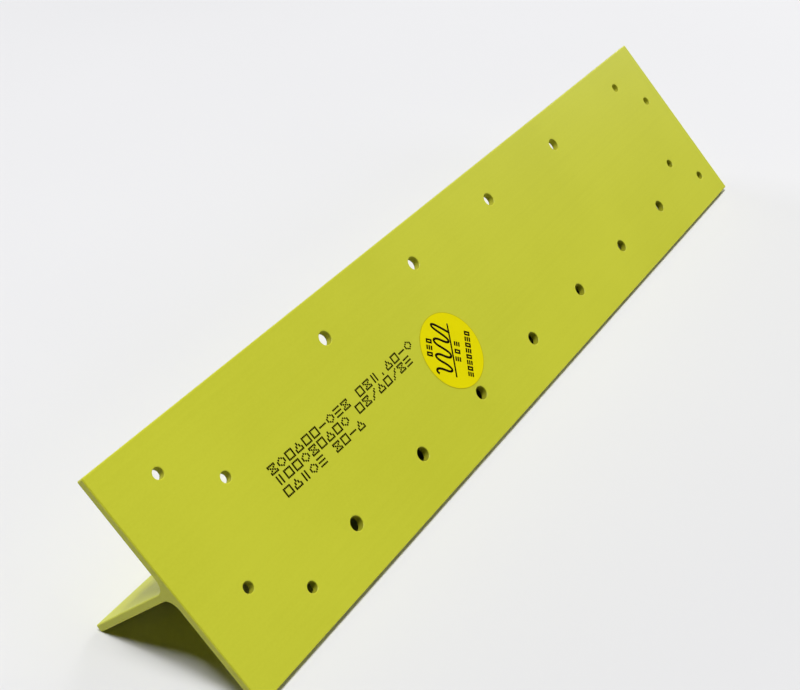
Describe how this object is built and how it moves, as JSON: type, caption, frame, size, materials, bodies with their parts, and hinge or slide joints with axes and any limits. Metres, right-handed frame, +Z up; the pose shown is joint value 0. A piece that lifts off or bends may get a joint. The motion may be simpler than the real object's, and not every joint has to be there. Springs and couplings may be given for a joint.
{
  "type": "structural stiffener",
  "caption": "Extruded aluminium tee stiffener with a drilled flange, a plain stem and root fillets, in matt yellow-green primer, with a round paper label.",
  "frame": {"origin": "centre of the base of the bounding box, with the part lying on its stem's free edge and one long edge of its flange", "axes": "+X along the length from the near end to the far end, +Y from the flange edge it lies on towards the stem's free edge, +Z up"},
  "size_m": [0.4572, 0.0804, 0.0793],
  "materials": {
    "primer": "matt yellow-green primer on aluminium",
    "label_paper": "matt yellow self-adhesive paper"
  },
  "bodies": {
    "root": {"tee_stiffener": "primer", "paper_label": "label_paper"}
  },
  "joints": []
}
